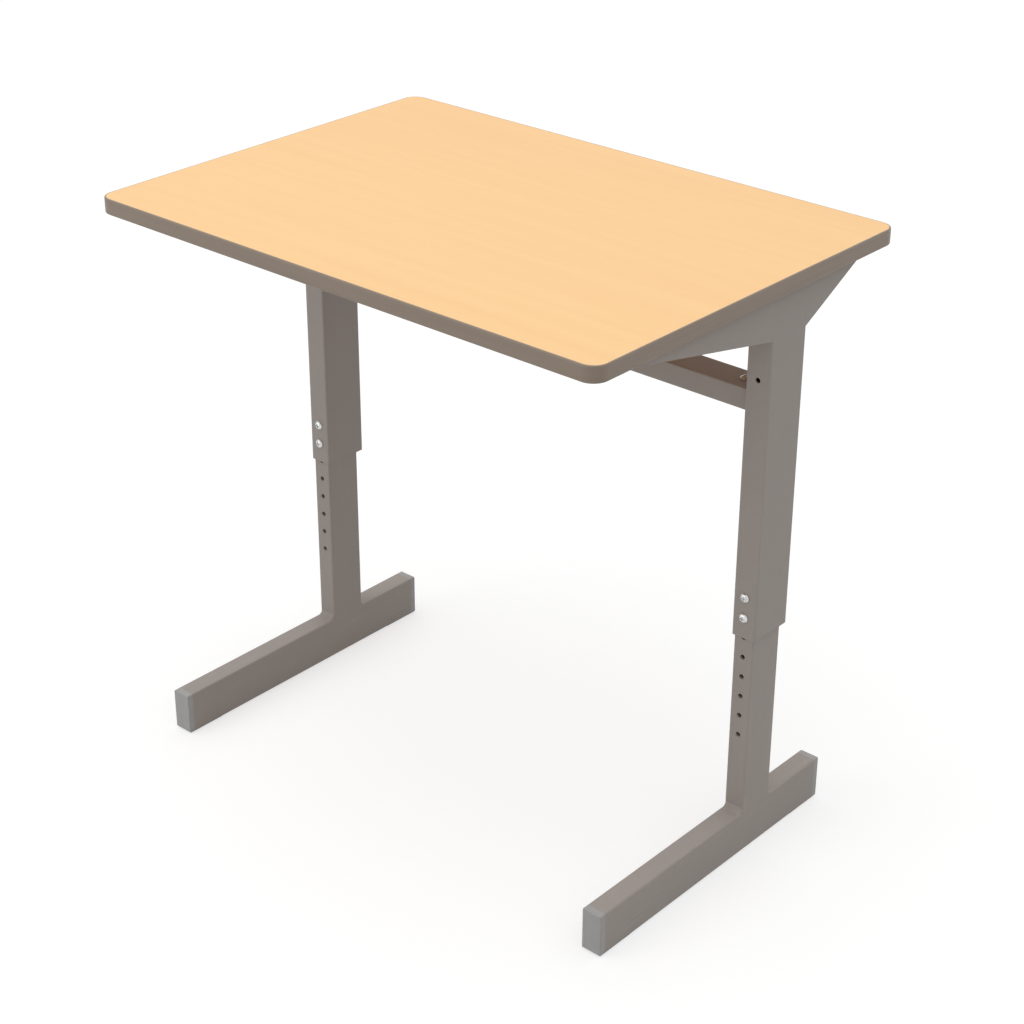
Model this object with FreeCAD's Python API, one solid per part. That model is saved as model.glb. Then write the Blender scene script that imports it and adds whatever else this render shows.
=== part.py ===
"""Height-adjustable single desk: a laminated board on two telescoping steel legs with a crossbeam.

Frame: X is the desk's width, -Y is the side where the user sits, +Z is up. The origin lies on the
floor, under the middle of the board. All lengths are in millimetres. Every piece is written to its
own STEP file in parts/.
"""

import FreeCAD, Part
import math
import os

Vector = FreeCAD.Vector
AXIS_X = Vector(1, 0, 0)
AXIS_Y = Vector(0, 1, 0)
AXIS_Z = Vector(0, 0, 1)
FULL_TURN = 360.0

# Desk as a whole
desk_width = 700.0
desk_depth = 500.0
desk_height = 700.0

# Board: particle board between a decor laminate and a backing laminate, with an edge band all round
board_thickness = 18.0
board_corner_radius = 18.0
laminate_thickness = 0.8
backer_thickness = 0.8
edge_band_thickness = 2.0
edge_band_round = 1.5
round_limit_share = 0.8

# Outer tube of each column, upright, its long side along Y
outer_tube_width = 30.0
outer_tube_depth = 60.0
outer_tube_wall = 1.5
outer_tube_round = 2.5
outer_tube_length = 400.0
column_side_inset = 9.0
column_rear_setback = 147.0
vent_hole_radius = 3.0
vent_hole_below_plate = 95.0
bore_round_share = 0.25

# Inner tube of each column, pressed forward against the outer tube by the adjusting screws
inner_tube_width = 25.0
inner_tube_depth = 50.0
inner_tube_wall = 1.5
inner_tube_round = 2.0
inner_tube_front_gap = 0.3
inner_tube_above_screws = 75.0

# Height adjustment: a row of holes in the inner tube and two screws in each outer tube
hole_pitch = 25.0
least_hole_above_foot = 95.0
screws_per_leg = 2
lower_screw_above_mouth = 25.0

# Adjusting screw and beam screw, M6 with a low pan head
m6_shank_radius = 3.0
m6_length = 12.0
m6_thread_pitch = 1.0
m6_thread_depth = 0.5
m6_tip_chamfer = 0.8
m6_head_radius = 5.5
m6_head_height = 3.4
m6_head_rim = 1.2
m6_recess_length = 6.0
m6_recess_width = 1.2
m6_recess_depth = 1.6
m6_thread_clearance = 0.05
m6_passing_clearance = 0.25

# Threaded collar drawn from the wall behind each hole that takes an M6 screw
collar_depth = 2.5
collar_wall = 1.0

# Nylon guides: a sleeve in the mouth of the outer tube and a plug on top of the inner tube
sliding_clearance = 0.3
sleeve_height = 30.0
sleeve_front_margin = 14.0
sleeve_corner_round = 1.2
guide_flange_thickness = 5.0
guide_flange_round = 1.5
guide_plug_length = 15.0
guide_plug_clearance = 0.1

# Foot tube along Y, with a moulded cap at each end whose sole runs back under the tube
foot_tube_width = 25.0
foot_tube_height = 53.0
foot_tube_wall = 1.5
foot_tube_round = 2.0
foot_front_inset = 42.5
foot_rear_inset = 54.5
cap_end_thickness = 8.0
cap_lower_round = 3.0
cap_edge_round = 1.0
cap_nose_run = 5.0
cap_nose_rise = 4.0
cap_sole_thickness = 1.0
cap_sole_length = 45.0
cap_plug_length = 18.0
cap_plug_wall = 2.0
cap_plug_clearance = 0.1

# Weld fillets where the inner tube stands on the foot
front_weld_run = 7.0
front_weld_rise = 6.0
rear_weld_run = 5.0
rear_weld_rise = 5.0
weld_throat_share = 0.4

# Mounting plate under the board, welded on top of each outer tube
plate_thickness = 3.0
plate_width = 50.0
plate_tip_margin = 12.0
plate_corner_round = 4.0

# Tapered arms, folded sheet channels that carry the mounting plate in front of and behind the tube
arm_sheet = 1.5
arm_root_depth = 48.0
arm_tip_depth = 3.0
front_arm_inset = 73.0
rear_arm_reach = 85.0
arm_coping_share = 0.6

# Wood screws that hold the board on the mounting plates
wood_screw_count = 4
wood_screw_end_margin = 15.0
wood_screw_shank_radius = 2.0
wood_screw_length = 15.0
wood_screw_thread_pitch = 1.5
wood_screw_thread_depth = 0.5
wood_screw_tip_chamfer = 1.6
wood_screw_head_radius = 4.0
wood_screw_head_height = 2.6
wood_screw_head_rim = 0.8
wood_screw_recess_length = 4.0
wood_screw_recess_width = 0.9
wood_screw_recess_depth = 1.2
wood_screw_thread_clearance = 0.05
wood_screw_pilot_spare = 1.0
wood_screw_passing_clearance = 0.3

# Crossbeam between the outer tubes and the brackets that its ends slide over
beam_depth = 40.0
beam_height = 25.0
beam_wall = 1.5
beam_round = 2.0
beam_below_plate = 126.0
bracket_plate_thickness = 3.0
bracket_plug_length = 34.0
bracket_plug_wall = 2.5
bracket_plug_round = 1.0
bracket_plug_clearance = 0.3
beam_screw_end_distance = 18.5

# Length by which a cutting shape runs past the face that it cuts
overrun = 1.0

# Distance from a plane within which an edge counts as lying in it
level_tolerance = 0.001

# Places worked out from the values above
board_underside = desk_height - board_thickness
board_front = -desk_depth / 2
board_rear = desk_depth / 2
column_outer_face = desk_width / 2 - column_side_inset
column_inner_face = column_outer_face - outer_tube_width
column_centre_x = column_outer_face - outer_tube_width / 2
column_rear = board_rear - column_rear_setback
column_front = column_rear - outer_tube_depth
column_centre_y = column_front + outer_tube_depth / 2
plate_underside = board_underside - plate_thickness
outer_tube_mouth = plate_underside - outer_tube_length
lower_screw_height = outer_tube_mouth + lower_screw_above_mouth
upper_screw_height = lower_screw_height + hole_pitch * (screws_per_leg - 1)
inner_tube_top = upper_screw_height + inner_tube_above_screws
inner_tube_front = column_front + outer_tube_wall + inner_tube_front_gap
inner_tube_rear = inner_tube_front + inner_tube_depth
foot_underside = cap_sole_thickness
foot_top = foot_underside + foot_tube_height
foot_front = board_front + foot_front_inset
foot_rear = board_rear - foot_rear_inset
front_arm_reach = column_front - board_front - front_arm_inset
plate_front = board_front + front_arm_inset - plate_tip_margin
plate_rear = column_rear + rear_arm_reach + plate_tip_margin
plate_inner_edge = column_outer_face - plate_width
beam_end = column_inner_face - bracket_plate_thickness
beam_screw_x = beam_end - beam_screw_end_distance
beam_centre_height = plate_underside - beam_below_plate
beam_top = beam_centre_height + beam_height / 2
hole_count = int((upper_screw_height - foot_top - least_hole_above_foot) / hole_pitch) + 1
m6_thread_radius = m6_shank_radius + m6_thread_clearance
m6_passing_radius = m6_shank_radius + m6_passing_clearance
wood_screw_pilot_radius = wood_screw_shank_radius + wood_screw_thread_clearance
wood_screw_passing_radius = wood_screw_shank_radius + wood_screw_passing_clearance


def block_between(low, high):
    """Rectangular block between two opposite corners."""
    size = high.sub(low)
    return Part.makeBox(size.x, size.y, size.z, low)


def edges_along(shape, axis):
    """The straight edges of a shape that run along an axis."""
    found = []
    for edge in shape.Edges:
        run = edge.Vertexes[-1].Point.sub(edge.Vertexes[0].Point)
        if run.Length > 0 and math.isclose(abs(run.dot(axis)), run.Length):
            found.append(edge)
    return found


def edges_at(edges, axis, level):
    """Those edges that lie in the plane across an axis, at a level along it."""
    found = []
    for edge in edges:
        heights = [vertex.Point.dot(axis) for vertex in edge.Vertexes]
        heights.append(edge.valueAt((edge.FirstParameter + edge.LastParameter) / 2).dot(axis))
        if all(math.isclose(height, level, abs_tol=level_tolerance) for height in heights):
            found.append(edge)
    return found


def rounded_block(low, high, radius, axis):
    """Block between two corners whose four edges along an axis are rounded."""
    block = block_between(low, high)
    return block.makeFillet(radius, edges_along(block, axis))


def grown(low, high, across, along, axis):
    """The two corners moved outwards: by one length along an axis and by another across it."""
    step = Vector(across, across, across).add(axis * (along - across))
    return low.sub(step), high.add(step)


def rectangular_tube(low, high, wall, radius, axis):
    """Open-ended rectangular tube along an axis, with rounded corners."""
    bore_low, bore_high = grown(low, high, -wall, overrun, axis)
    bore = rounded_block(bore_low, bore_high, max(radius - wall, radius * bore_round_share), axis)
    return rounded_block(low, high, radius, axis).cut(bore)


def prism_across_x(points, x_low, x_high):
    """Straight-sided outline in the YZ plane, given a thickness along X."""
    corners = [Vector(x_low, y, z) for y, z in points]
    face = Part.Face(Part.makePolygon(corners + corners[:1]))
    return face.extrude(AXIS_X * (x_high - x_low))


def screw(head, thread, recess):
    """Pan-head screw along Z: the head stands on the plane Z = 0 and the shank hangs below it."""
    head_radius, head_height, head_rim = head
    shank_radius, length, pitch, depth, chamfer = thread
    recess_length, recess_width, recess_depth = recess
    crown = Part.Arc(
        Vector(head_radius, 0, head_rim),
        Vector(head_radius * math.cos(math.pi / 4), 0,
               head_rim + (head_height - head_rim) * math.sin(math.pi / 4)),
        Vector(0, 0, head_height),
    ).toShape()
    profile = [Vector(0, 0, head_height), Vector(0, 0, -length), Vector(shank_radius - chamfer, 0, -length)]
    turns = int((length - chamfer - pitch) / pitch)
    for turn in range(turns):
        crest = -length + chamfer + pitch * turn
        profile.append(Vector(shank_radius, 0, crest))
        profile.append(Vector(shank_radius - depth, 0, crest + pitch / 2))
    profile.append(Vector(shank_radius, 0, -length + chamfer + pitch * turns))
    profile.append(Vector(shank_radius, 0, 0))
    profile.append(Vector(head_radius, 0, 0))
    profile.append(Vector(head_radius, 0, head_rim))
    lines = [Part.LineSegment(start, end).toShape() for start, end in zip(profile, profile[1:])]
    body = Part.Face(Part.Wire(lines + [crown])).revolve(Vector(), AXIS_Z, FULL_TURN)
    for half_x, half_y in ((recess_length / 2, recess_width / 2), (recess_width / 2, recess_length / 2)):
        slot = block_between(Vector(-half_x, -half_y, head_height - recess_depth),
                             Vector(half_x, half_y, head_height + overrun))
        body = body.cut(slot)
    return body


def m6_screw():
    """M6 screw used for the height adjustment and for the crossbeam."""
    return screw((m6_head_radius, m6_head_height, m6_head_rim),
                 (m6_shank_radius, m6_length, m6_thread_pitch, m6_thread_depth, m6_tip_chamfer),
                 (m6_recess_length, m6_recess_width, m6_recess_depth))


def wood_screw():
    """Short pan-head wood screw, head below and point up."""
    piece = screw((wood_screw_head_radius, wood_screw_head_height, wood_screw_head_rim),
                  (wood_screw_shank_radius, wood_screw_length, wood_screw_thread_pitch,
                   wood_screw_thread_depth, wood_screw_tip_chamfer),
                  (wood_screw_recess_length, wood_screw_recess_width, wood_screw_recess_depth))
    piece.rotate(Vector(), AXIS_X, FULL_TURN / 2)
    return piece


def cylinder_along(axis, start, end, radius, centre):
    """Cylinder along an axis, from one coordinate to another, whose middle line passes through a point."""
    base = centre.add(axis * (start - centre.dot(axis)))
    return Part.makeCylinder(radius, end - start, base, axis)


def adjustment_heights():
    """Heights of all the holes of an inner tube, the highest first."""
    return [upper_screw_height - hole_pitch * index for index in range(hole_count)]


def adjusting_screw_heights():
    """Heights of the screws of one leg, the highest first."""
    return [upper_screw_height - hole_pitch * index for index in range(screws_per_leg)]


def wood_screw_places():
    """Centres of the wood screws of the right-hand mounting plate, in plan."""
    x = (plate_inner_edge + column_inner_face) / 2
    first = plate_front + wood_screw_end_margin
    last = plate_rear - wood_screw_end_margin
    step = (last - first) / (wood_screw_count - 1)
    return [(x, first + step * index) for index in range(wood_screw_count)]


def both_sides(places):
    """The same plan points on the right and, mirrored, on the left."""
    return [(side * x, y) for side in (1, -1) for x, y in places]


def board_plan(bottom, top, inset):
    """Board outline with rounded corners, between two heights and inset from the board's edge."""
    low = Vector(-desk_width / 2 + inset, -desk_depth / 2 + inset, bottom)
    high = Vector(desk_width / 2 - inset, desk_depth / 2 - inset, top)
    return rounded_block(low, high, board_corner_radius - inset, AXIS_Z)


def tabletop_core():
    """Particle board, drilled from below for the wood screws."""
    core = board_plan(board_underside + backer_thickness, desk_height - laminate_thickness,
                      edge_band_thickness)
    for x, y in both_sides(wood_screw_places()):
        core = core.cut(cylinder_along(AXIS_Z, board_underside - overrun,
                                       plate_underside + wood_screw_length + wood_screw_pilot_spare,
                                       wood_screw_pilot_radius, Vector(x, y, 0)))
    return core


def tabletop_laminate():
    """Decor laminate on top of the core."""
    return board_plan(desk_height - laminate_thickness, desk_height, edge_band_thickness)


def tabletop_backer():
    """Backing laminate below the core, pierced by the wood screws."""
    sheet = board_plan(board_underside, board_underside + backer_thickness, edge_band_thickness)
    for x, y in both_sides(wood_screw_places()):
        sheet = sheet.cut(cylinder_along(AXIS_Z, board_underside - overrun, desk_height,
                                         wood_screw_pilot_radius, Vector(x, y, 0)))
    return sheet


def edge_band():
    """Plastic band round the whole board, its outer edges rounded above and below."""
    solid = board_plan(board_underside, desk_height, 0)
    rims = edges_at(solid.Edges, AXIS_Z, board_underside) + edges_at(solid.Edges, AXIS_Z, desk_height)
    solid = solid.makeFillet(min(edge_band_round, edge_band_thickness * round_limit_share), rims)
    return solid.cut(board_plan(board_underside - overrun, desk_height + overrun, edge_band_thickness))


def mounting_plate():
    """Plate between the board and the right-hand column, with a row of holes in its inner flange."""
    plate = rounded_block(Vector(plate_inner_edge, plate_front, plate_underside),
                          Vector(column_outer_face, plate_rear, board_underside), plate_corner_round, AXIS_Z)
    for x, y in wood_screw_places():
        plate = plate.cut(cylinder_along(AXIS_Z, plate_underside - overrun, board_underside + overrun,
                                         wood_screw_passing_radius, Vector(x, y, 0)))
    return plate


def outer_tube_body():
    """Outside of the right-hand outer tube, with no bore."""
    return rounded_block(Vector(column_inner_face, column_front, outer_tube_mouth),
                         Vector(column_outer_face, column_rear, plate_underside), outer_tube_round, AXIS_Z)


def arm(root, direction, reach):
    """Tapered channel, open above and at its tip, from a face of the outer tube to the end of the plate."""
    slope = (arm_root_depth - arm_tip_depth) / reach
    into_tube = outer_tube_round * arm_coping_share
    start_y = root - direction * into_tube
    start_z = plate_underside - arm_root_depth - slope * into_tube
    tip_y = root + direction * reach
    outside = [(start_y, start_z), (tip_y, plate_underside - arm_tip_depth),
               (tip_y, plate_underside), (start_y, plate_underside)]
    web = arm_sheet / math.cos(math.atan(slope))
    past_y = tip_y + direction * overrun
    past_z = plate_underside - arm_tip_depth + slope * overrun + web
    hollow_top = max(past_z, plate_underside) + overrun
    inside = [(start_y, start_z + web), (past_y, past_z), (past_y, hollow_top), (start_y, hollow_top)]
    channel = prism_across_x(outside, column_inner_face, column_outer_face)
    hollow = prism_across_x(inside, column_inner_face + arm_sheet, column_outer_face - arm_sheet)
    return channel.cut(hollow).cut(outer_tube_body())


def front_arm():
    """Long arm towards the user."""
    return arm(column_front, -1, front_arm_reach)


def rear_arm():
    """Short steep arm behind the column."""
    return arm(column_rear, 1, rear_arm_reach)


def outer_tube():
    """Right-hand outer tube with its two screw holes and a vent hole in the front face."""
    tube = rectangular_tube(Vector(column_inner_face, column_front, outer_tube_mouth),
                            Vector(column_outer_face, column_rear, plate_underside),
                            outer_tube_wall, outer_tube_round, AXIS_Z)
    holes = [(height, m6_passing_radius) for height in adjusting_screw_heights()]
    holes.append((plate_underside - vent_hole_below_plate, vent_hole_radius))
    wall_end = column_front + outer_tube_wall
    for height, radius in holes:
        tube = tube.cut(cylinder_along(AXIS_Y, column_front - overrun, wall_end + overrun, radius,
                                       Vector(column_centre_x, 0, height)))
    return tube


def guide_sleeve():
    """Nylon sleeve in the outer tube's mouth: a thick back and two thin cheeks beside the inner tube."""
    low = Vector(column_inner_face + outer_tube_wall, column_front + sleeve_front_margin, outer_tube_mouth)
    high = Vector(column_outer_face - outer_tube_wall, column_rear - outer_tube_wall,
                  outer_tube_mouth + sleeve_height)
    block = block_between(low, high)
    block = block.makeFillet(sleeve_corner_round, edges_at(edges_along(block, AXIS_Z), AXIS_Y, high.y))
    half_width = inner_tube_width / 2 + sliding_clearance
    passage = block_between(
        Vector(column_centre_x - half_width, column_front, outer_tube_mouth - overrun),
        Vector(column_centre_x + half_width, inner_tube_rear + sliding_clearance, high.z + overrun))
    return block.cut(passage)


def collar(axis, start, end, centre):
    """Blank of a threaded collar along an axis, before its hole is cut."""
    return cylinder_along(axis, start, end, m6_thread_radius + collar_wall, centre)


def inner_tube():
    """Right-hand inner tube from the foot to its upper end, with the row of threaded holes."""
    tube = rectangular_tube(Vector(column_centre_x - inner_tube_width / 2, inner_tube_front, foot_top),
                            Vector(column_centre_x + inner_tube_width / 2, inner_tube_rear, inner_tube_top),
                            inner_tube_wall, inner_tube_round, AXIS_Z)
    wall_middle = inner_tube_front + inner_tube_wall / 2
    collar_end = inner_tube_front + inner_tube_wall + collar_depth
    for height in adjustment_heights():
        centre = Vector(column_centre_x, 0, height)
        tube = tube.fuse(collar(AXIS_Y, wall_middle, collar_end, centre))
        tube = tube.cut(cylinder_along(AXIS_Y, inner_tube_front - overrun, collar_end + overrun,
                                       m6_thread_radius, centre))
    return tube.removeSplitter()


def upper_guide():
    """Nylon guide on the right-hand inner tube's upper end: a flange that fills the outer tube, on a plug."""
    reach = outer_tube_wall + sliding_clearance
    flange = rounded_block(Vector(column_inner_face + reach, column_front + reach, inner_tube_top),
                           Vector(column_outer_face - reach, column_rear - reach,
                                  inner_tube_top + guide_flange_thickness), guide_flange_round, AXIS_Z)
    inset = inner_tube_wall + guide_plug_clearance
    plug = rounded_block(
        Vector(column_centre_x - inner_tube_width / 2 + inset, inner_tube_front + inset,
               inner_tube_top - guide_plug_length),
        Vector(column_centre_x + inner_tube_width / 2 - inset, inner_tube_rear - inset, inner_tube_top),
        inner_tube_round / 2, AXIS_Z)
    return flange.fuse(plug).removeSplitter()


def foot_tube():
    """Right-hand foot tube along Y, between its two end caps."""
    return rectangular_tube(
        Vector(column_centre_x - foot_tube_width / 2, foot_front + cap_end_thickness, foot_underside),
        Vector(column_centre_x + foot_tube_width / 2, foot_rear - cap_end_thickness, foot_top),
        foot_tube_wall, foot_tube_round, AXIS_Y)


def cap_side_outline(tip, direction):
    """Side view of a cap's end and sole as a closed wire, with the nose rising from the floor."""
    seat = tip - direction * cap_end_thickness
    nose_start = tip - direction * cap_nose_run
    sole_end = seat - direction * cap_sole_length
    nose_radius = (cap_nose_run ** 2 + cap_nose_rise ** 2) / cap_nose_rise / 2
    half_turn = math.asin(cap_nose_run / nose_radius) / 2
    nose_middle = (nose_start + direction * nose_radius * math.sin(half_turn),
                   nose_radius * (1 - math.cos(half_turn)))
    corners = [(tip, cap_nose_rise), (tip, foot_top), (seat, foot_top), (seat, foot_underside),
               (sole_end, foot_underside), (sole_end, 0), (nose_start, 0)]
    x = column_centre_x - foot_tube_width / 2
    points = [Vector(x, y, z) for y, z in corners]
    edges = [Part.LineSegment(start, end).toShape() for start, end in zip(points, points[1:])]
    edges.append(Part.Arc(points[-1], Vector(x, *nose_middle), points[0]).toShape())
    return Part.Wire(edges)


def foot_cap(tip, direction):
    """Moulded end cap of the right-hand foot: a rising nose, a sole under the tube and a hollow plug."""
    left = column_centre_x - foot_tube_width / 2
    right = column_centre_x + foot_tube_width / 2
    seat = tip - direction * cap_end_thickness
    first, last = sorted((tip, seat - direction * cap_sole_length))
    block = block_between(Vector(left, first, 0), Vector(right, last, foot_top))
    block = block.makeFillet(cap_lower_round, edges_at(edges_along(block, AXIS_Y), AXIS_Z, 0))
    block = block.makeFillet(foot_tube_round, edges_at(edges_along(block, AXIS_Y), AXIS_Z, foot_top))
    block = block.makeFillet(cap_edge_round, edges_at(block.Edges, AXIS_Y, tip))
    end = Part.Face(cap_side_outline(tip, direction)).extrude(AXIS_X * foot_tube_width).common(block)
    inset = foot_tube_wall + cap_plug_clearance
    plug_first, plug_last = sorted((seat, seat - direction * cap_plug_length))
    plug = rounded_block(Vector(left + inset, plug_first, foot_underside + inset),
                         Vector(right - inset, plug_last, foot_top - inset), foot_tube_round / 2, AXIS_Y)
    hollow_inset = inset + cap_plug_wall
    hollow_first, hollow_last = sorted((seat, seat - direction * (cap_plug_length + overrun)))
    hollow = block_between(Vector(left + hollow_inset, hollow_first, foot_underside + hollow_inset),
                           Vector(right - hollow_inset, hollow_last, foot_top - hollow_inset))
    return end.fuse(plug.cut(hollow)).removeSplitter()


def weld_fillet(root, direction, run, rise):
    """Hollow-faced weld across the foot's top, in front of or behind the inner tube."""
    x_low = column_centre_x - inner_tube_width / 2 + inner_tube_round
    x_high = column_centre_x + inner_tube_width / 2 - inner_tube_round
    heel = Vector(x_low, root, foot_top)
    toe = Vector(x_low, root + direction * run, foot_top)
    crest = Vector(x_low, root, foot_top + rise)
    middle = Vector(x_low, root + direction * run * weld_throat_share, foot_top + rise * weld_throat_share)
    outline = Part.Wire([Part.LineSegment(heel, toe).toShape(), Part.Arc(toe, middle, crest).toShape(),
                         Part.LineSegment(crest, heel).toShape()])
    return Part.Face(outline).extrude(AXIS_X * (x_high - x_low))


def base_welds():
    """Front and rear weld of the right-hand inner tube on its foot."""
    return Part.makeCompound([weld_fillet(inner_tube_front, -1, front_weld_run, front_weld_rise),
                              weld_fillet(inner_tube_rear, 1, rear_weld_run, rear_weld_rise)])


def wood_screws():
    """The wood screws of the right-hand mounting plate."""
    screws = []
    for x, y in wood_screw_places():
        piece = wood_screw()
        piece.translate(Vector(x, y, plate_underside))
        screws.append(piece)
    return Part.makeCompound(screws)


def adjusting_screw(height):
    """One adjusting screw of the right-hand leg, head in front."""
    piece = m6_screw()
    piece.rotate(Vector(), AXIS_X, FULL_TURN / 4)
    piece.translate(Vector(column_centre_x, column_front, height))
    return piece


def crossbeam():
    """Flat-lying tube between the columns, drilled above at both ends."""
    tube = rectangular_tube(
        Vector(-beam_end, column_centre_y - beam_depth / 2, beam_centre_height - beam_height / 2),
        Vector(beam_end, column_centre_y + beam_depth / 2, beam_top), beam_wall, beam_round, AXIS_X)
    for side in (1, -1):
        tube = tube.cut(cylinder_along(AXIS_Z, beam_top - beam_wall - overrun, beam_top + overrun,
                                       m6_passing_radius, Vector(side * beam_screw_x, column_centre_y, 0)))
    return tube


def plug_half_sizes():
    """Half the bracket plug's depth and half its height."""
    inset = beam_wall + bracket_plug_clearance
    return beam_depth / 2 - inset, beam_height / 2 - inset


def beam_bracket():
    """Bracket welded to the right-hand outer tube: a plate of the beam's section and a hollow plug."""
    plate = rounded_block(
        Vector(beam_end, column_centre_y - beam_depth / 2, beam_centre_height - beam_height / 2),
        Vector(column_inner_face, column_centre_y + beam_depth / 2, beam_top), beam_round, AXIS_X)
    half_depth, half_height = plug_half_sizes()
    plug = rectangular_tube(
        Vector(beam_end - bracket_plug_length, column_centre_y - half_depth,
               beam_centre_height - half_height),
        Vector(beam_end, column_centre_y + half_depth, beam_centre_height + half_height),
        bracket_plug_wall, bracket_plug_round, AXIS_X)
    centre = Vector(beam_screw_x, column_centre_y, 0)
    wall_middle = beam_centre_height + half_height - bracket_plug_wall / 2
    collar_end = beam_centre_height + half_height - bracket_plug_wall - collar_depth
    bracket = plate.fuse(plug).fuse(collar(AXIS_Z, collar_end, wall_middle, centre))
    bracket = bracket.cut(cylinder_along(AXIS_Z, collar_end - overrun, beam_top, m6_thread_radius, centre))
    return bracket.removeSplitter()


def beam_screws():
    """One screw from above at each end of the crossbeam."""
    screws = []
    for side in (1, -1):
        piece = m6_screw()
        piece.translate(Vector(side * beam_screw_x, column_centre_y, beam_top))
        screws.append(piece)
    return Part.makeCompound(screws)


def mirrored(shape):
    """The left-hand counterpart of a right-hand piece."""
    return shape.mirror(Vector(), AXIS_X)


def desk_pieces():
    """Every piece of the desk by its name."""
    pieces = {
        "tabletop_core": tabletop_core(),
        "tabletop_laminate": tabletop_laminate(),
        "tabletop_backer": tabletop_backer(),
        "edge_band": edge_band(),
        "crossbeam": crossbeam(),
        "beam_screws": beam_screws(),
    }
    right_hand = {
        "mounting_plate": mounting_plate(),
        "front_arm": front_arm(),
        "rear_arm": rear_arm(),
        "outer_tube": outer_tube(),
        "guide_sleeve": guide_sleeve(),
        "beam_bracket": beam_bracket(),
        "wood_screws": wood_screws(),
        "inner_tube": inner_tube(),
        "upper_guide": upper_guide(),
        "foot_tube": foot_tube(),
        "foot_front_cap": foot_cap(foot_front, -1),
        "foot_rear_cap": foot_cap(foot_rear, 1),
        "base_welds": base_welds(),
    }
    for number, height in enumerate(adjusting_screw_heights(), start=1):
        right_hand["adjusting_screw_" + str(number)] = adjusting_screw(height)
    for name, shape in right_hand.items():
        pieces["right_" + name] = shape
        pieces["left_" + name] = mirrored(shape)
    return pieces


def main():
    """Writes every piece to its own STEP file."""
    os.makedirs("parts", exist_ok=True)
    for name, shape in desk_pieces().items():
        shape.exportStep(os.path.join("parts", name + ".step"))


main()
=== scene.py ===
"""Looks of the height-adjustable desk: finishes of every piece, weld beads, floor, lights and camera.

Lengths are in metres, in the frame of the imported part: X is the width, -Y the user's side, +Z up.
"""

import math

import bmesh
import bpy
from mathutils import Matrix, Vector


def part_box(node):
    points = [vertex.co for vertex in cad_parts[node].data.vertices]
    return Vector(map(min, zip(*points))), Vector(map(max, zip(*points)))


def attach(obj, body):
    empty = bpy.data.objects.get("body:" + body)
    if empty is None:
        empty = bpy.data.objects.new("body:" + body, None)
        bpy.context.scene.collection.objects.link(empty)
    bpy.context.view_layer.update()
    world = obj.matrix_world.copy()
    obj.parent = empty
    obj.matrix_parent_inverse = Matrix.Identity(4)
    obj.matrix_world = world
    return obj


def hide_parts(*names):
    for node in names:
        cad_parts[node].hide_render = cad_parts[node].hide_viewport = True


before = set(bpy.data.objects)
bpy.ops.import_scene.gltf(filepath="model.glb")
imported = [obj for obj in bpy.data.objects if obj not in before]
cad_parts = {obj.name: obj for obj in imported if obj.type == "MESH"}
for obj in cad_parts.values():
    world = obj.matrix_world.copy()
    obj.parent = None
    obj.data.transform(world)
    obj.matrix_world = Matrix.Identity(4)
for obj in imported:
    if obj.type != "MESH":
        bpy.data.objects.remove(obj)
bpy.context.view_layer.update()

SIDES = ("right", "left")

# Camera, as fitted to the photograph
CAMERA_POSITION = Vector((1.50316, -1.68175, 1.51175))
CAMERA_AZIMUTH = math.radians(41.199)
CAMERA_ELEVATION = math.radians(27.514)
CAMERA_ROLL = math.radians(-0.197)
CAMERA_LENS = 78.17
CAMERA_SENSOR = 36.0

# Studio
FLOOR_SIZE = 30.0
FLOOR_GREY = 0.60
FLOOR_SHOWN_GREY = 0.45
FLOOR_SHOWN_LIFT = 0.60
WORLD_WHITE = 1.0
WORLD_SHOWN_LEVEL = 1.0
HORIZON_LEVEL = 0.02
ZENITH_LEVEL = 1.36
KEY_ENERGY = 9.0
KEY_SIZE = 2.0
KEY_POSITION = Vector((-0.3, -0.6, 3.2))
SIDE_ENERGY = 0.5
SIDE_SIZE = 2.0
SIDE_POSITION = Vector((3.2, 0.0, 1.6))
FRONT_ENERGY = 21.5
FRONT_SIZE = 2.0
FRONT_POSITION = Vector((-1.8, -3.4, 1.5))
LAMP_TARGET = Vector((0.0, 0.0, 0.4))

# Curve between the levels of a screen and linear light
SCREEN_WHITE = 255
CURVE_TOE_END = 0.04045
CURVE_TOE_SLOPE = 12.92
CURVE_OFFSET = 0.055
CURVE_POWER = 2.4

# Numbers of the colour sockets on the mix node
MIX_FIRST_COLOUR = 6
MIX_SECOND_COLOUR = 7
MIX_RESULT_COLOUR = 2

# Parts of a texture's values that a finish spreads over its whole range
FULL_SPAN = (0.0, 1.0)
WIDE_SPAN = (0.3, 0.7)
MIDDLE_SPAN = (0.35, 0.65)

# Each finish below has its tones as they show on the screen, its features per metre, in all
# directions alike or along X, Y and Z, and the depth of its relief in metres

# Wood decor of the top
LAMINATE_TONES = ((246, 201, 144), (249, 206, 150))
LAMINATE_SPAN = (0.38, 0.62)
LAMINATE_STREAKS = (3.0, 75.0, 75.0)
LAMINATE_FIGURE = (1.1, 9.0, 9.0)
LAMINATE_STREAK_SHARE = 0.6
LAMINATE_PORE_TONE = (238, 190, 132)
LAMINATE_PORES = (60.0, 1500.0, 1500.0)
LAMINATE_PORE_SPAN = (0.66, 0.74)
LAMINATE_PORE_SHARE = 0.35
LAMINATE_ROUGHNESS = (0.46, 0.54)
LAMINATE_SATIN = 900.0
LAMINATE_RELIEF = 0.00003
LAMINATE_SPECULAR = 0.25

# Chips of the core
CORE_TONES = ((171, 137, 96), (205, 172, 128))
CORE_SPAN = (0.1, 0.8)
CORE_CHIPS = (260.0, 260.0, 572.0)
CORE_ROUGHNESS = (0.75, 0.92)
CORE_RELIEF = 0.0004

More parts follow.
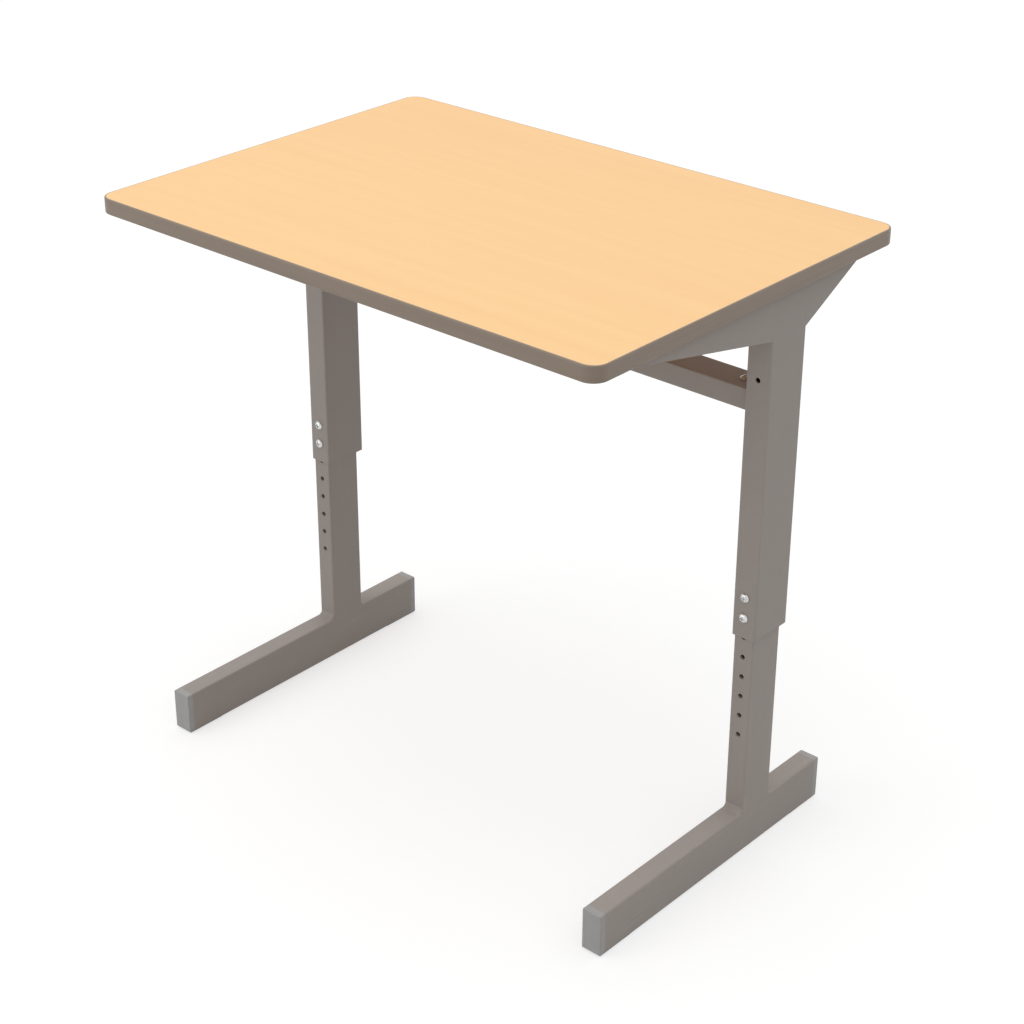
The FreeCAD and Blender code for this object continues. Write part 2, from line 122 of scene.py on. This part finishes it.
# Sheet under the board
BACKER_TONES = ((184, 130, 80), (192, 139, 88))
BACKER_CLOUDS = 14.0
BACKER_ROUGHNESS = (0.55, 0.66)
BACKER_LEATHER = 700.0
BACKER_RELIEF = 0.00006

# Plastic band round the board
BAND_TONES = ((136, 120, 106), (143, 128, 113))
BAND_LINES = (5.0, 5.0, 1400.0)
BAND_CLOUDS = (7.0, 7.0, 160.0)
BAND_CLOUD_SHARE = 0.7
BAND_ROUGHNESS = (0.36, 0.46)
BAND_PEARL = 1100.0
BAND_PEARL_SHARE = 0.6
BAND_RELIEF = 0.00005

# Powder coat, and the lines rubbed into it
PAINT_TONES = ((159, 151, 145), (165, 157, 151))
PAINT_CLOUDS = 9.0
PAINT_SPECKLE = 1600.0
PAINT_CLOUD_SHARE = 0.6
PAINT_ROUGHNESS = (0.50, 0.60)
PAINT_PEEL = 380.0
PAINT_SAND = 2200.0
PAINT_SAND_SHARE = 0.35
PAINT_RELIEF = 0.00016
PAINT_SPECULAR = 0.3
RUBBED_TONE = (172, 165, 159)
RUB_SPAN = (0.60, 0.74)
RUB_SHARE = 0.45
RUB_POLISH = 0.16
RUB_WEAR = 0.3
SLEEVE_RUB = (900.0, 900.0, 5.0)
SHOE_RUB = (320.0, 16.0, 320.0)

# Zinc of the screws
ZINC_TONES = ((196, 197, 196), (222, 223, 222))
ZINC_CLOUDS = 260.0
ZINC_GRAIN = 2400.0
ZINC_ROUGHNESS = (0.26, 0.42)
ZINC_RELIEF = 0.00002

# Plastic of the foot caps, the sleeves and the guides
PLASTIC_CLOUDS = 60.0
CAP_TONES = ((162, 161, 160), (168, 167, 166))
CAP_ROUGHNESS = (0.50, 0.62)
CAP_GRAIN = 900.0
CAP_RELIEF = 0.00006
NYLON_TONES = ((36, 36, 37), (46, 46, 47))
NYLON_ROUGHNESS = (0.42, 0.54)
NYLON_GRAIN = 700.0
NYLON_RELIEF = 0.00005

# Weld beads
BEAD_STEP = 0.00025
BEAD_FACE_POINTS = 12
BEAD_CROWN = 0.0003
BEAD_RIPPLE_PITCH = 0.0016
BEAD_RIPPLE_BOW = 0.9
BEAD_RIPPLE_HEIGHT = 0.00022
BEAD_RIPPLE_MEAN = 0.5
BEAD_TOE_WAVE = 0.04
BEAD_SINK = 0.0002
BEAD_LEAST_END = 0.1
BEAD_ROUND_END = 0.0036
BASE_FRONT_LEGS = (0.0070, 0.0060)
BASE_REAR_LEGS = (0.0050, 0.0050)
BASE_HOLLOW = -0.0007
BASE_SIDE_MARGIN = 0.0003
TUBE_ROUND = 0.0020
ARM_LEG = 0.0032
ARM_ROOT_BELOW_PLATE = 0.048
ARM_DROP = 0.045
ARM_BEAD_MARGIN = 0.003
SEAM_INSET = 0.0020
SEAM_DEPTH = 0.0006
SEAM_HALF_WIDTH = 0.0009
SEAM_CROWN = 0.0001
BRACKET_LEGS = (0.0028, 0.0024)
BRACKET_BEAD_MARGIN = 0.0025
PLATE_LEG = 0.0032
PLATE_STITCHES = ((-0.150, -0.125), (-0.070, -0.045), (0.006, 0.031), (0.115, 0.140))


def grey(level):
    """RGBA of a scene-linear grey."""
    return (level, level, level, 1.0)


def linear(colour):
    """Scene-linear RGBA of a colour given as it shows on the screen."""
    values = []
    for part in colour:
        level = part / SCREEN_WHITE
        if level <= CURVE_TOE_END:
            values.append(level / CURVE_TOE_SLOPE)
        else:
            values.append(((level + CURVE_OFFSET) / (1 + CURVE_OFFSET)) ** CURVE_POWER)
    return (*values, 1.0)


class Finish:
    """A material under construction, with short calls for the nodes that it uses."""

    def __init__(self, name):
        self.material = bpy.data.materials.new(name)
        self.material.use_nodes = True
        self.nodes = self.material.node_tree.nodes
        self.links = self.material.node_tree.links
        self.shader = self.nodes["Principled BSDF"]
        self.place = self.nodes.new("ShaderNodeTexCoord").outputs["Object"]

    def spread(self, texture, features):
        """Sets the features per metre of a texture on the piece: one number, or one per axis."""
        if isinstance(features, tuple):
            mapping = self.nodes.new("ShaderNodeMapping")
            mapping.inputs["Scale"].default_value = features
            self.links.new(self.place, mapping.inputs["Vector"])
            texture.inputs["Scale"].default_value = 1.0
            self.links.new(mapping.outputs["Vector"], texture.inputs["Vector"])
        else:
            texture.inputs["Scale"].default_value = features
            self.links.new(self.place, texture.inputs["Vector"])

    def noise(self, features, detail=2.0, roughness=0.5, distortion=0.0):
        """Soft noise, about 0.5 on average."""
        node = self.nodes.new("ShaderNodeTexNoise")
        node.inputs["Detail"].default_value = detail
        node.inputs["Roughness"].default_value = roughness
        node.inputs["Distortion"].default_value = distortion
        self.spread(node, features)
        return node.outputs["Fac"]

    def cells(self, features):
        """Distance to the nearest of scattered points, for flakes and pearls."""
        node = self.nodes.new("ShaderNodeTexVoronoi")
        self.spread(node, features)
        return node.outputs["Distance"]

    def range(self, value, span, result=FULL_SPAN):
        """A span of a value, mapped to the span of the result and held there."""
        node = self.nodes.new("ShaderNodeMapRange")
        node.inputs["From Min"].default_value, node.inputs["From Max"].default_value = span
        node.inputs["To Min"].default_value, node.inputs["To Max"].default_value = result
        self.links.new(value, node.inputs["Value"])
        return node.outputs["Result"]

    def blend(self, factor, first, second):
        """Mix of two colours, each a screen colour or a socket."""
        node = self.nodes.new("ShaderNodeMix")
        node.data_type = "RGBA"
        self.links.new(factor, node.inputs["Factor"])
        for number, colour in ((MIX_FIRST_COLOUR, first), (MIX_SECOND_COLOUR, second)):
            if isinstance(colour, bpy.types.NodeSocket):
                self.links.new(colour, node.inputs[number])
            else:
                node.inputs[number].default_value = linear(colour)
        return node.outputs[MIX_RESULT_COLOUR]

    def combine(self, operation, first, second):
        """Arithmetic on a socket and on a second value, which is a number or a socket."""
        node = self.nodes.new("ShaderNodeMath")
        node.operation = operation
        self.links.new(first, node.inputs[0])
        if isinstance(second, bpy.types.NodeSocket):
            self.links.new(second, node.inputs[1])
        else:
            node.inputs[1].default_value = second
        return node.outputs["Value"]

    def plus(self, first, second, share):
        """The first value and a share of the second, which takes away where the share is negative."""
        return self.combine("ADD", first, self.combine("MULTIPLY", second, share))

    def weighted(self, first, second, share):
        """A share of the first value, and the rest from the second."""
        return self.plus(self.combine("MULTIPLY", first, share), second, 1 - share)

    def bump(self, height, depth):
        """Relief of a given depth in metres."""
        node = self.nodes.new("ShaderNodeBump")
        node.inputs["Strength"].default_value = 1.0
        node.inputs["Distance"].default_value = depth
        self.links.new(height, node.inputs["Height"])
        self.links.new(node.outputs["Normal"], self.shader.inputs["Normal"])

    def colour(self, socket):
        """Colour that varies over the surface."""
        self.links.new(socket, self.shader.inputs["Base Color"])

    def roughness(self, socket):
        """Roughness that varies over the surface."""
        self.links.new(socket, self.shader.inputs["Roughness"])

    def constant(self, **values):
        """Shader values that are the same all over the surface."""
        for name, value in values.items():
            self.shader.inputs[name.replace("_", " ")].default_value = value


def bead_end(distance, reach):
    """Share of its full section that a bead has near its end, where it rounds off."""
    if distance >= reach:
        return 1.0
    return max(BEAD_LEAST_END, math.sqrt(1 - ((reach - distance) / reach) ** 2))


def bead_ring(shape, heel, legs, outward, run, scale, crown, ripple_height):
    """One section of a bead: the heel, then the points of its rippled face from toe to toe."""
    ring = [shape.verts.new(heel)]
    for step in range(BEAD_FACE_POINTS + 1):
        share = step / BEAD_FACE_POINTS
        swell = 4 * share * (1 - share)
        phase = run / BEAD_RIPPLE_PITCH + BEAD_RIPPLE_BOW * swell
        ripple = abs(math.sin(math.pi * phase))
        proud = swell * crown + math.sqrt(swell) * ripple_height * (ripple - BEAD_RIPPLE_MEAN)
        wave = 1 + BEAD_TOE_WAVE * (ripple - 1) * (ripple_height > 0)
        reach = legs[0] * (1 - share) + legs[1] * share
        ring.append(shape.verts.new(heel + scale * (reach * wave + outward * proud)))
    return ring


def weld_bead(shape, ends, legs, crown=BEAD_CROWN, sink=BEAD_SINK, ripple_height=BEAD_RIPPLE_HEIGHT,
              end_reach=BEAD_ROUND_END):
    """Adds a fillet bead along a root line, between two legs that run out over the joined faces."""
    start, finish = ends
    length = (finish - start).length
    axis = (finish - start) / length
    chord = (legs[0] - legs[1]).normalized()
    middle = legs[0] + legs[1]
    outward = (middle - chord * middle.dot(chord)).normalized()
    count = int(length / BEAD_STEP)
    rings = []
    for index in range(count + 1):
        run = length * index / count
        scale = bead_end(min(run, length - run), end_reach)
        heel = start + axis * run - outward * sink
        rings.append(bead_ring(shape, heel, legs, outward, run, scale, crown, ripple_height))
    size = len(rings[0])
    for near, far in zip(rings, rings[1:]):
        for corner in range(size):
            after = (corner + 1) % size
            face = shape.faces.new((near[corner], near[after], far[after], far[corner]))
            face.smooth = True
        for corner in (0, 1, size - 1):
            shape.edges.get((near[corner], far[corner])).smooth = False
    shape.faces.new(rings[0])
    shape.faces.new(rings[-1])


def bead_piece(name, body, shape, paint):
    """Makes one piece of the beads in a bmesh, painted like the frame."""
    bmesh.ops.recalc_face_normals(shape, faces=shape.faces)
    mesh = bpy.data.meshes.new(name)
    shape.to_mesh(mesh)
    shape.free()
    piece = bpy.data.objects.new(name, mesh)
    bpy.context.scene.collection.objects.link(piece)
    mesh.materials.append(paint)
    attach(piece, body)
    return piece


def base_weld(side, paint):
    """Weld round the foot of an inner tube: beads in front and behind, filled flush at the sides."""
    low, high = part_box(f"{side}_inner_tube")
    foot_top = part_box(f"{side}_foot_tube")[1][2]
    x_low, x_high = low[0] + BASE_SIDE_MARGIN, high[0] - BASE_SIDE_MARGIN
    shape = bmesh.new()
    for y, direction, (run, rise) in ((low[1], -1, BASE_FRONT_LEGS), (high[1], 1, BASE_REAR_LEGS)):
        ends = (Vector((x_low, y, foot_top)), Vector((x_high, y, foot_top)))
        legs = (Vector((0, direction * run, 0)), Vector((0, 0, rise)))
        weld_bead(shape, ends, legs, crown=BASE_HOLLOW)
    for face, direction in ((low[0], -1), (high[0], 1)):
        x = face - direction * TUBE_ROUND
        ends = (Vector((x, low[1], foot_top)), Vector((x, high[1], foot_top)))
        legs = (Vector((direction * TUBE_ROUND, 0, -TUBE_ROUND)), Vector((direction * TUBE_ROUND, 0, 0)))
        weld_bead(shape, ends, legs, crown=0.0, sink=0.0, ripple_height=0.0, end_reach=TUBE_ROUND)
    piece = bead_piece(f"{side}_base_weld_beads", "lower_legs", shape, paint)
    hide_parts(f"{side}_base_welds")


def arm_beads(shape, side):
    """Beads across the underside of both arms, where they meet the outer tube."""
    low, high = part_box(f"{side}_outer_tube")
    root_height = high[2] - ARM_ROOT_BELOW_PLATE
    x_low, x_high = low[0] + ARM_BEAD_MARGIN, high[0] - ARM_BEAD_MARGIN
    for name, y, direction in (("front_arm", low[1], -1), ("rear_arm", high[1], 1)):
        arm_low, arm_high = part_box(f"{side}_{name}")
        tip = arm_low[1] if direction < 0 else arm_high[1]
        slope = math.atan(ARM_DROP / abs(tip - y))
        along_arm = Vector((0, direction * math.cos(slope), math.sin(slope)))
        ends = (Vector((x_low, y, root_height)), Vector((x_high, y, root_height)))
        weld_bead(shape, ends, (along_arm * ARM_LEG, Vector((0, 0, -ARM_LEG))))


def seam_fills(shape, side):
    """Welds ground nearly flush, up the side seams between both arms and the outer tube."""
    low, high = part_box(f"{side}_outer_tube")
    root_height = high[2] - ARM_ROOT_BELOW_PLATE
    for face, outward in ((low[0], -1), (high[0], 1)):
        x = face - outward * SEAM_DEPTH
        legs = [Vector((outward * SEAM_DEPTH, turn * SEAM_HALF_WIDTH, 0)) for turn in (-1, 1)]
        for edge, direction in ((low[1], -1), (high[1], 1)):
            y = edge - direction * SEAM_INSET
            ends = (Vector((x, y, root_height)), Vector((x, y, high[2])))
            weld_bead(shape, ends, legs, crown=SEAM_CROWN, sink=0.0, ripple_height=0.0,
                      end_reach=SEAM_DEPTH)


def inner_face(side):
    """Direction along X from an outer tube to the middle of the desk, and the face on that side."""
    low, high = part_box(f"{side}_outer_tube")
    if side == "right":
        return -1, low[0]
    return 1, high[0]


def bracket_beads(shape, side):
    """Beads on all four edges of the beam bracket's plate."""
    low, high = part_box("crossbeam")
    inward, x = inner_face(side)
    on_tube, on_plate = BRACKET_LEGS
    plate_leg = Vector((inward * on_plate, 0, 0))
    margin = BRACKET_BEAD_MARGIN
    for z, direction in ((low[2], -1), (high[2], 1)):
        ends = (Vector((x, low[1] + margin, z)), Vector((x, high[1] - margin, z)))
        weld_bead(shape, ends, (Vector((0, 0, direction * on_tube)), plate_leg))
    for y, direction in ((low[1], -1), (high[1], 1)):
        ends = (Vector((x, y, low[2] + margin)), Vector((x, y, high[2] - margin)))
        weld_bead(shape, ends, (Vector((0, direction * on_tube, 0)), plate_leg))


def plate_beads(shape, side):
    """Stitches between the mounting plate's underside and the arms and tube under it."""
    inward, x = inner_face(side)
    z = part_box(f"{side}_outer_tube")[1][2]
    for near, far in PLATE_STITCHES:
        ends = (Vector((x, near, z)), Vector((x, far, z)))
        weld_bead(shape, ends, (Vector((inward * PLATE_LEG, 0, 0)), Vector((0, 0, -PLATE_LEG))))


def frame_welds(side, paint):
    """The beads of one side of the upper frame, as one piece."""
    shape = bmesh.new()
    arm_beads(shape, side)
    seam_fills(shape, side)
    bracket_beads(shape, side)
    plate_beads(shape, side)
    bead_piece(f"{side}_frame_weld_beads", "upper_frame", shape, paint)


def wood_laminate():
    """Light maple decor under a satin melamine surface, its grain along the desk's width."""
    finish = Finish("light_wood_laminate")
    streaks = finish.noise(LAMINATE_STREAKS, detail=5.0, roughness=0.6, distortion=0.6)
    figure = finish.noise(LAMINATE_FIGURE, detail=3.0, roughness=0.55, distortion=1.2)
    grain = finish.weighted(streaks, figure, LAMINATE_STREAK_SHARE)
    tone = finish.blend(finish.range(grain, LAMINATE_SPAN), *LAMINATE_TONES)
    pores = finish.range(finish.noise(LAMINATE_PORES), LAMINATE_PORE_SPAN, (0.0, LAMINATE_PORE_SHARE))
    finish.colour(finish.blend(pores, tone, LAMINATE_PORE_TONE))
    finish.roughness(finish.range(grain, WIDE_SPAN, LAMINATE_ROUGHNESS))
    satin = finish.noise(LAMINATE_SATIN, detail=3.0, roughness=0.6)
    finish.bump(finish.combine("SUBTRACT", satin, pores), LAMINATE_RELIEF)
    finish.constant(Specular_IOR_Level=LAMINATE_SPECULAR)
    return finish.material


def particle_board():
    """Pressed chips, seen only inside the screw holes."""
    finish = Finish("particle_board_chips")
    chips = finish.cells(CORE_CHIPS)
    finish.colour(finish.blend(finish.range(chips, CORE_SPAN), *CORE_TONES))
    finish.roughness(finish.range(chips, FULL_SPAN, CORE_ROUGHNESS))
    finish.bump(chips, CORE_RELIEF)
    return finish.material


def backing_laminate():
    """Brown backing sheet with a faint leathery relief."""
    finish = Finish("brown_backing_laminate")
    clouds = finish.noise(BACKER_CLOUDS, detail=4.0, roughness=0.6)
    finish.colour(finish.blend(finish.range(clouds, MIDDLE_SPAN), *BACKER_TONES))
    finish.roughness(finish.range(clouds, WIDE_SPAN, BACKER_ROUGHNESS))
    finish.bump(finish.cells(BACKER_LEATHER), BACKER_RELIEF)
    return finish.material


def edge_band():
    """Extruded plastic band with fine lengthwise drawing lines in a pearl surface."""
    finish = Finish("grey_edge_band")
    lines = finish.noise(BAND_LINES, detail=3.0, roughness=0.6)
    clouds = finish.noise(BAND_CLOUDS, detail=3.0)
    tone = finish.weighted(clouds, lines, BAND_CLOUD_SHARE)
    finish.colour(finish.blend(finish.range(tone, WIDE_SPAN), *BAND_TONES))
    finish.roughness(finish.range(lines, WIDE_SPAN, BAND_ROUGHNESS))
    finish.bump(finish.plus(lines, finish.cells(BAND_PEARL), BAND_PEARL_SHARE), BAND_RELIEF)
    return finish.material


def frame_paint(name="warm_grey_powder_coat", rub=None):
    """Warm grey powder coat: orange peel and fine sand, with rubbed lines where a rub is given."""
    finish = Finish(name)
    clouds = finish.noise(PAINT_CLOUDS, detail=4.0, roughness=0.6)
    speckle = finish.noise(PAINT_SPECKLE, detail=1.0, roughness=0.4)
    tone = finish.weighted(clouds, speckle, PAINT_CLOUD_SHARE)
    coat = finish.blend(finish.range(tone, MIDDLE_SPAN), *PAINT_TONES)
    gloss = finish.range(clouds, WIDE_SPAN, PAINT_ROUGHNESS)
    peel = finish.noise(PAINT_PEEL, detail=1.0, roughness=0.4)
    relief = finish.plus(peel, finish.noise(PAINT_SAND, roughness=0.6), PAINT_SAND_SHARE)
    if rub:
        rubbed = finish.range(finish.noise(rub), RUB_SPAN, (0.0, RUB_SHARE))
        coat = finish.blend(rubbed, coat, RUBBED_TONE)
        gloss = finish.plus(gloss, rubbed, -RUB_POLISH)
        relief = finish.plus(relief, rubbed, -RUB_WEAR)
    finish.colour(coat)
    finish.roughness(gloss)
    finish.bump(relief, PAINT_RELIEF)
    finish.constant(Specular_IOR_Level=PAINT_SPECULAR)
    return finish.material


def zinc_plate():
    """Bright zinc plating with a fine, slightly uneven grain."""
    finish = Finish("zinc_plated_steel")
    clouds = finish.noise(ZINC_CLOUDS)
    grain = finish.noise(ZINC_GRAIN, detail=3.0, roughness=0.6)
    finish.colour(finish.blend(finish.range(clouds, WIDE_SPAN), *ZINC_TONES))
    finish.roughness(finish.range(grain, WIDE_SPAN, ZINC_ROUGHNESS))
    finish.bump(grain, ZINC_RELIEF)
    finish.constant(Metallic=1.0)
    return finish.material


def moulded_plastic(name, tones, roughness, grain, relief):
    """Injection-moulded plastic with a spark-eroded grain."""
    finish = Finish(name)
    clouds = finish.noise(PLASTIC_CLOUDS, detail=3.0)
    erosion = finish.noise(grain, detail=3.0, roughness=0.65)
    finish.colour(finish.blend(finish.range(clouds, MIDDLE_SPAN), *tones))
    finish.roughness(finish.range(erosion, WIDE_SPAN, roughness))
    finish.bump(erosion, relief)
    return finish.material


def dress(nodes, material):
    """Gives frame nodes a material."""
    for name in nodes:
        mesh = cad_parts[name].data
        mesh.materials.clear()
        mesh.materials.append(material)


def both(*names):
    """Names of the right-hand and left-hand nodes."""
    return [f"{side}_{name}" for side in SIDES for name in names]


def dress_frame(paint):
    """Every node of the frame gets the finish of its real piece."""
    dress(["tabletop_laminate"], wood_laminate())
    dress(["tabletop_core"], particle_board())
    dress(["tabletop_backer"], backing_laminate())
    dress(["edge_band"], edge_band())
    dress(["crossbeam"], paint)
    dress(both("outer_tube", "front_arm", "rear_arm", "mounting_plate", "beam_bracket"), paint)
    dress(both("base_welds"), paint)
    dress(both("inner_tube"), frame_paint("powder_coat_rubbed_by_sleeve", SLEEVE_RUB))
    dress(both("foot_tube"), frame_paint("powder_coat_rubbed_by_shoes", SHOE_RUB))
    zinc = zinc_plate()
    dress(["beam_screws"], zinc)
    dress(both("adjusting_screw_1", "adjusting_screw_2", "wood_screws"), zinc)
    dress(both("foot_front_cap", "foot_rear_cap"),
          moulded_plastic("grey_foot_cap", CAP_TONES, CAP_ROUGHNESS, CAP_GRAIN, CAP_RELIEF))
    dress(both("guide_sleeve", "upper_guide"),
          moulded_plastic("black_guide_nylon", NYLON_TONES, NYLON_ROUGHNESS, NYLON_GRAIN, NYLON_RELIEF))


def seen_rays(nodes, links):
    """1 for rays that come from the camera, a mirror-like surface or glass, otherwise 0."""
    path = nodes.new("ShaderNodeLightPath")
    total = path.outputs["Is Camera Ray"]
    for name in ("Is Glossy Ray", "Is Transmission Ray"):
        larger = nodes.new("ShaderNodeMath")
        larger.operation = "MAXIMUM"
        links.new(total, larger.inputs[0])
        links.new(path.outputs[name], larger.inputs[1])
        total = larger.outputs["Value"]
    return total


def studio_floor():
    """Wide pale floor that shows as white to the camera and keeps the desk's shadow."""
    bpy.ops.mesh.primitive_plane_add(size=FLOOR_SIZE)
    floor = bpy.context.object
    floor.name = "studio_floor"
    material = bpy.data.materials.new("studio_floor_white")
    material.use_nodes = True
    nodes, links = material.node_tree.nodes, material.node_tree.links
    nodes.clear()
    lighting = nodes.new("ShaderNodeBsdfDiffuse")
    lighting.inputs["Color"].default_value = grey(FLOOR_GREY)
    shown = nodes.new("ShaderNodeBsdfDiffuse")
    shown.inputs["Color"].default_value = grey(FLOOR_SHOWN_GREY)
    lift = nodes.new("ShaderNodeEmission")
    lift.inputs["Strength"].default_value = FLOOR_SHOWN_LIFT
    lifted = nodes.new("ShaderNodeAddShader")
    mix = nodes.new("ShaderNodeMixShader")
    output = nodes.new("ShaderNodeOutputMaterial")
    links.new(shown.outputs["BSDF"], lifted.inputs[0])
    links.new(lift.outputs["Emission"], lifted.inputs[1])
    links.new(seen_rays(nodes, links), mix.inputs["Fac"])
    links.new(lighting.outputs["BSDF"], mix.inputs[1])
    links.new(lifted.outputs["Shader"], mix.inputs[2])
    links.new(mix.outputs["Shader"], output.inputs["Surface"])
    floor.data.materials.append(material)


def studio_world():
    """White surroundings: plain white where they are seen, brighter overhead where they light."""
    world = bpy.data.worlds.new("studio_world")
    bpy.context.scene.world = world
    world.use_nodes = True
    nodes, links = world.node_tree.nodes, world.node_tree.links
    nodes.clear()
    direction = nodes.new("ShaderNodeTexCoord")
    height = nodes.new("ShaderNodeSeparateXYZ")
    level = nodes.new("ShaderNodeMapRange")
    level.inputs["To Min"].default_value = HORIZON_LEVEL
    level.inputs["To Max"].default_value = ZENITH_LEVEL
    light = nodes.new("ShaderNodeBackground")
    light.inputs["Color"].default_value = grey(WORLD_WHITE)
    shown = nodes.new("ShaderNodeBackground")
    shown.inputs["Color"].default_value = grey(WORLD_WHITE)
    shown.inputs["Strength"].default_value = WORLD_SHOWN_LEVEL
    mix = nodes.new("ShaderNodeMixShader")
    output = nodes.new("ShaderNodeOutputWorld")
    links.new(direction.outputs["Generated"], height.inputs["Vector"])
    links.new(height.outputs["Z"], level.inputs["Value"])
    links.new(level.outputs["Result"], light.inputs["Strength"])
    links.new(seen_rays(nodes, links), mix.inputs["Fac"])
    links.new(light.outputs["Background"], mix.inputs[1])
    links.new(shown.outputs["Background"], mix.inputs[2])
    links.new(mix.outputs["Shader"], output.inputs["Surface"])


def soft_lamp(name, position, size, energy):
    """Square area lamp that looks at the desk."""
    data = bpy.data.lights.new(name, "AREA")
    data.shape = "SQUARE"
    data.size = size
    data.energy = energy
    lamp = bpy.data.objects.new(name, data)
    lamp.location = position
    lamp.rotation_euler = (LAMP_TARGET - position).to_track_quat("-Z", "Y").to_euler()
    bpy.context.scene.collection.objects.link(lamp)


def studio_camera():
    """Camera at the photograph's place, with its slight roll."""
    forward = Vector((-math.sin(CAMERA_AZIMUTH) * math.cos(CAMERA_ELEVATION),
                      math.cos(CAMERA_AZIMUTH) * math.cos(CAMERA_ELEVATION),
                      -math.sin(CAMERA_ELEVATION)))
    right = forward.cross(Vector((0, 0, 1))).normalized()
    down = forward.cross(right)
    image_x = math.cos(CAMERA_ROLL) * right + math.sin(CAMERA_ROLL) * down
    image_down = math.cos(CAMERA_ROLL) * down - math.sin(CAMERA_ROLL) * right
    data = bpy.data.cameras.new("photo_camera")
    data.lens = CAMERA_LENS
    data.sensor_width = CAMERA_SENSOR
    camera = bpy.data.objects.new("photo_camera", data)
    turn = Matrix((image_x, -image_down, -forward)).transposed()
    camera.matrix_world = Matrix.Translation(CAMERA_POSITION) @ turn.to_4x4()
    bpy.context.scene.collection.objects.link(camera)
    bpy.context.scene.camera = camera


paint = frame_paint()
dress_frame(paint)
for side in SIDES:
    base_weld(side, paint)
    frame_welds(side, paint)
studio_floor()
studio_world()
soft_lamp("key_lamp", KEY_POSITION, KEY_SIZE, KEY_ENERGY)
soft_lamp("side_lamp", SIDE_POSITION, SIDE_SIZE, SIDE_ENERGY)
soft_lamp("front_lamp", FRONT_POSITION, FRONT_SIZE, FRONT_ENERGY)
studio_camera()
bpy.context.scene.view_settings.view_transform = "Standard"
